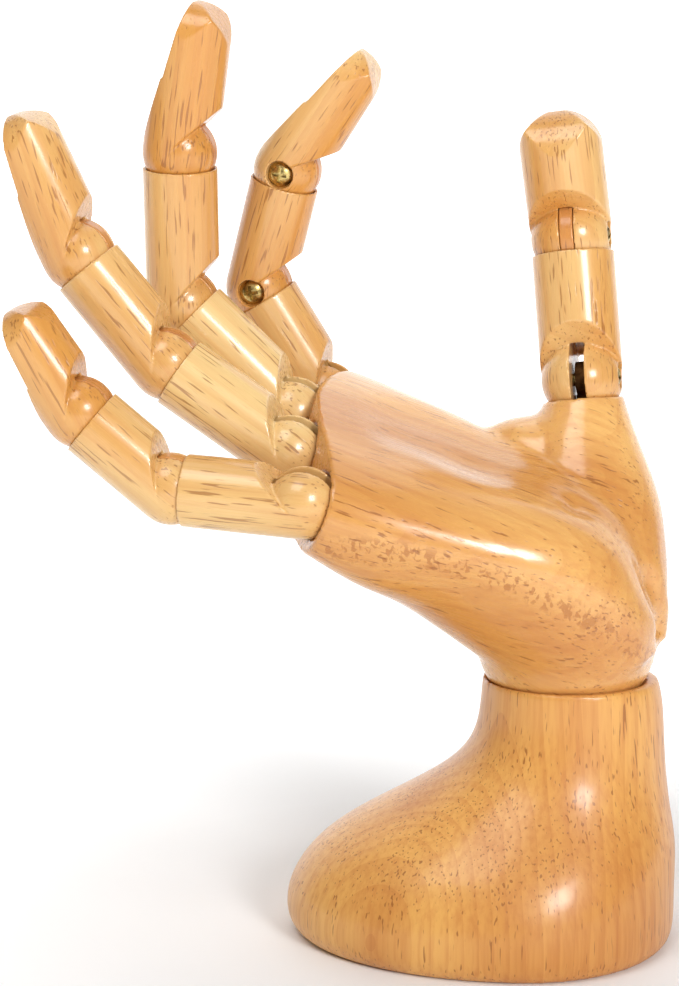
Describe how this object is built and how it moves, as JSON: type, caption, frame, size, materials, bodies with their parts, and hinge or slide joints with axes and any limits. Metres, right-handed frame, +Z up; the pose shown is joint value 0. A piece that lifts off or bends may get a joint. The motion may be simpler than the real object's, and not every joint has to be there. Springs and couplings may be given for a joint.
{
  "type": "articulated wooden hand model",
  "caption": "Jointed right-hand drawing model in beech: ball-knuckled fingers and thumb that bend and stay posed, on a palm block that tilts and swivels on a boot-shaped base.",
  "frame": {"origin": "middle of the flat underside of the base", "axes": "+Z up along the wrist bolt, -X towards the toe of the base and the fingers, -Y the little-finger side"},
  "size_m": [0.1441, 0.0752, 0.2029],
  "materials": {
    "base_beech": "clear gloss lacquer on beech, warm amber",
    "palm_beech": "clear gloss lacquer on beech, warm amber",
    "finger_beech": "clear satin lacquer on pale beech",
    "tongue_beech": "darker beech, end grain, thin lacquer",
    "screw_brass": "brass-plated, bright with dark recess",
    "eye_steel": "dull zinc-plated steel",
    "bolt_steel": "dull zinc-plated steel"
  },
  "bodies": {
    "base": {"forearm_base": "base_beech"},
    "wrist_bolt": {"wrist_eye_bolt": "bolt_steel", "wrist_spring": "bolt_steel", "wrist_washer": "bolt_steel", "wrist_lock_nut": "bolt_steel"},
    "palm": {"palm_block": "palm_beech", "wrist_cross_pin": "bolt_steel", "wrist_pin_plug": "palm_beech", "little_root_eye": "eye_steel", "ring_root_eye": "eye_steel", "middle_root_eye": "eye_steel", "index_root_eye": "eye_steel"},
    "little_proximal": {"little_proximal": "finger_beech", "little_root_screw": "screw_brass", "little_middle_tongue": "tongue_beech"},
    "little_middle": {"little_middle": "finger_beech", "little_middle_screw": "screw_brass", "little_tip_tongue": "tongue_beech"},
    "little_distal": {"little_distal": "finger_beech", "little_tip_screw": "screw_brass"},
    "ring_proximal": {"ring_proximal": "finger_beech", "ring_root_screw": "screw_brass", "ring_middle_tongue": "tongue_beech"},
    "ring_middle": {"ring_middle": "finger_beech", "ring_middle_screw": "screw_brass", "ring_tip_tongue": "tongue_beech"},
    "ring_distal": {"ring_distal": "finger_beech", "ring_tip_screw": "screw_brass"},
    "middle_proximal": {"middle_proximal": "finger_beech", "middle_root_screw": "screw_brass", "middle_middle_tongue": "tongue_beech"},
    "middle_middle": {"middle_middle": "finger_beech", "middle_middle_screw": "screw_brass", "middle_tip_tongue": "tongue_beech"},
    "middle_distal": {"middle_distal": "finger_beech", "middle_tip_screw": "screw_brass"},
    "index_proximal": {"index_proximal": "finger_beech", "index_root_screw": "screw_brass", "index_middle_tongue": "tongue_beech"},
    "index_middle": {"index_middle": "finger_beech", "index_middle_screw": "screw_brass", "index_tip_tongue": "tongue_beech"},
    "index_distal": {"index_distal": "finger_beech", "index_tip_screw": "screw_brass"},
    "thumb_root": {"thumb_root_eye": "eye_steel"},
    "thumb_proximal": {"thumb_proximal": "finger_beech", "thumb_root_screw": "screw_brass", "thumb_tip_tongue": "tongue_beech"},
    "thumb_distal": {"thumb_distal": "finger_beech", "thumb_tip_screw": "screw_brass"}
  },
  "joints": [
    {"name": "wrist_swivel", "type": "hinge", "parent": "base", "child": "wrist_bolt", "pos_m": [0.0175, 0, 0.067], "axis": [0, 0, 1], "continuous": true},
    {"name": "wrist_tilt", "type": "hinge", "parent": "wrist_bolt", "child": "palm", "pos_m": [0.0175, 0, 0.067], "axis": [0.225, 0.9744, 0], "range_deg": [-15, 15]},
    {"name": "little_root_bend", "type": "hinge", "parent": "palm", "child": "little_proximal", "pos_m": [-0.03971, -0.02197, 0.09887], "axis": [0.196, 0.9561, 0.2178], "range_deg": [-7, 72]},
    {"name": "little_middle_bend", "type": "hinge", "parent": "little_proximal", "child": "little_middle", "pos_m": [-0.06744, -0.0168, 0.10113], "axis": [0.196, 0.9561, 0.2178], "range_deg": [-49, 38]},
    {"name": "little_tip_bend", "type": "hinge", "parent": "little_middle", "child": "little_distal", "pos_m": [-0.0863, -0.0166, 0.11723], "axis": [0.196, 0.9561, 0.2178], "range_deg": [-28, 59]},
    {"name": "ring_root_bend", "type": "hinge", "parent": "palm", "child": "ring_proximal", "pos_m": [-0.04273, -0.00439, 0.10758], "axis": [0.22, 0.9531, 0.2079], "range_deg": [-38, 41]},
    {"name": "ring_middle_bend", "type": "hinge", "parent": "ring_proximal", "child": "ring_middle", "pos_m": [-0.06932, -0.00234, 0.12632], "axis": [0.22, 0.9531, 0.2079], "range_deg": [-29, 58]},
    {"name": "ring_tip_bend", "type": "hinge", "parent": "ring_middle", "child": "ring_distal", "pos_m": [-0.08779, -0.00312, 0.14945], "axis": [0.22, 0.9531, 0.2079], "range_deg": [-27, 60]},
    {"name": "middle_root_bend", "type": "hinge", "parent": "palm", "child": "middle_proximal", "pos_m": [-0.04244, 0.01285, 0.11433], "axis": [0.22, 0.9531, 0.2079], "range_deg": [-48, 31]},
    {"name": "middle_middle_bend", "type": "hinge", "parent": "middle_proximal", "child": "middle_middle", "pos_m": [-0.06689, 0.01321, 0.13854], "axis": [0.22, 0.9531, 0.2079], "range_deg": [-59, 28]},
    {"name": "middle_tip_bend", "type": "hinge", "parent": "middle_middle", "child": "middle_distal", "pos_m": [-0.06674, 0.00602, 0.17136], "axis": [0.22, 0.9531, 0.2079], "range_deg": [-20, 67]},
    {"name": "index_root_bend", "type": "hinge", "parent": "palm", "child": "index_proximal", "pos_m": [-0.03542, 0.02996, 0.11699], "axis": [0.2518, 0.948, 0.1944], "range_deg": [-62, 17]},
    {"name": "index_middle_bend", "type": "hinge", "parent": "index_proximal", "child": "index_middle", "pos_m": [-0.05063, 0.02889, 0.14189], "axis": [0.2518, 0.948, 0.1944], "range_deg": [-59, 28]},
    {"name": "index_tip_bend", "type": "hinge", "parent": "index_middle", "child": "index_distal", "pos_m": [-0.04389, 0.02172, 0.1681], "axis": [0.2518, 0.948, 0.1944], "range_deg": [-30, 57]},
    {"name": "thumb_swivel", "type": "hinge", "parent": "palm", "child": "thumb_root", "pos_m": [0.02241, 0.01859, 0.12138], "axis": [-0.0727, 0.1395, 0.9875], "range_deg": [-30, 30]},
    {"name": "thumb_root_bend", "type": "hinge", "parent": "thumb_root", "child": "thumb_proximal", "pos_m": [0.02241, 0.01859, 0.12138], "axis": [0.9636, -0.2455, 0.1056], "range_deg": [-24, 60]},
    {"name": "thumb_tip_bend", "type": "hinge", "parent": "thumb_proximal", "child": "thumb_distal", "pos_m": [0.02008, 0.02305, 0.15299], "axis": [0.9636, -0.2455, 0.1056], "range_deg": [-30.5, 56.5]}
  ]
}
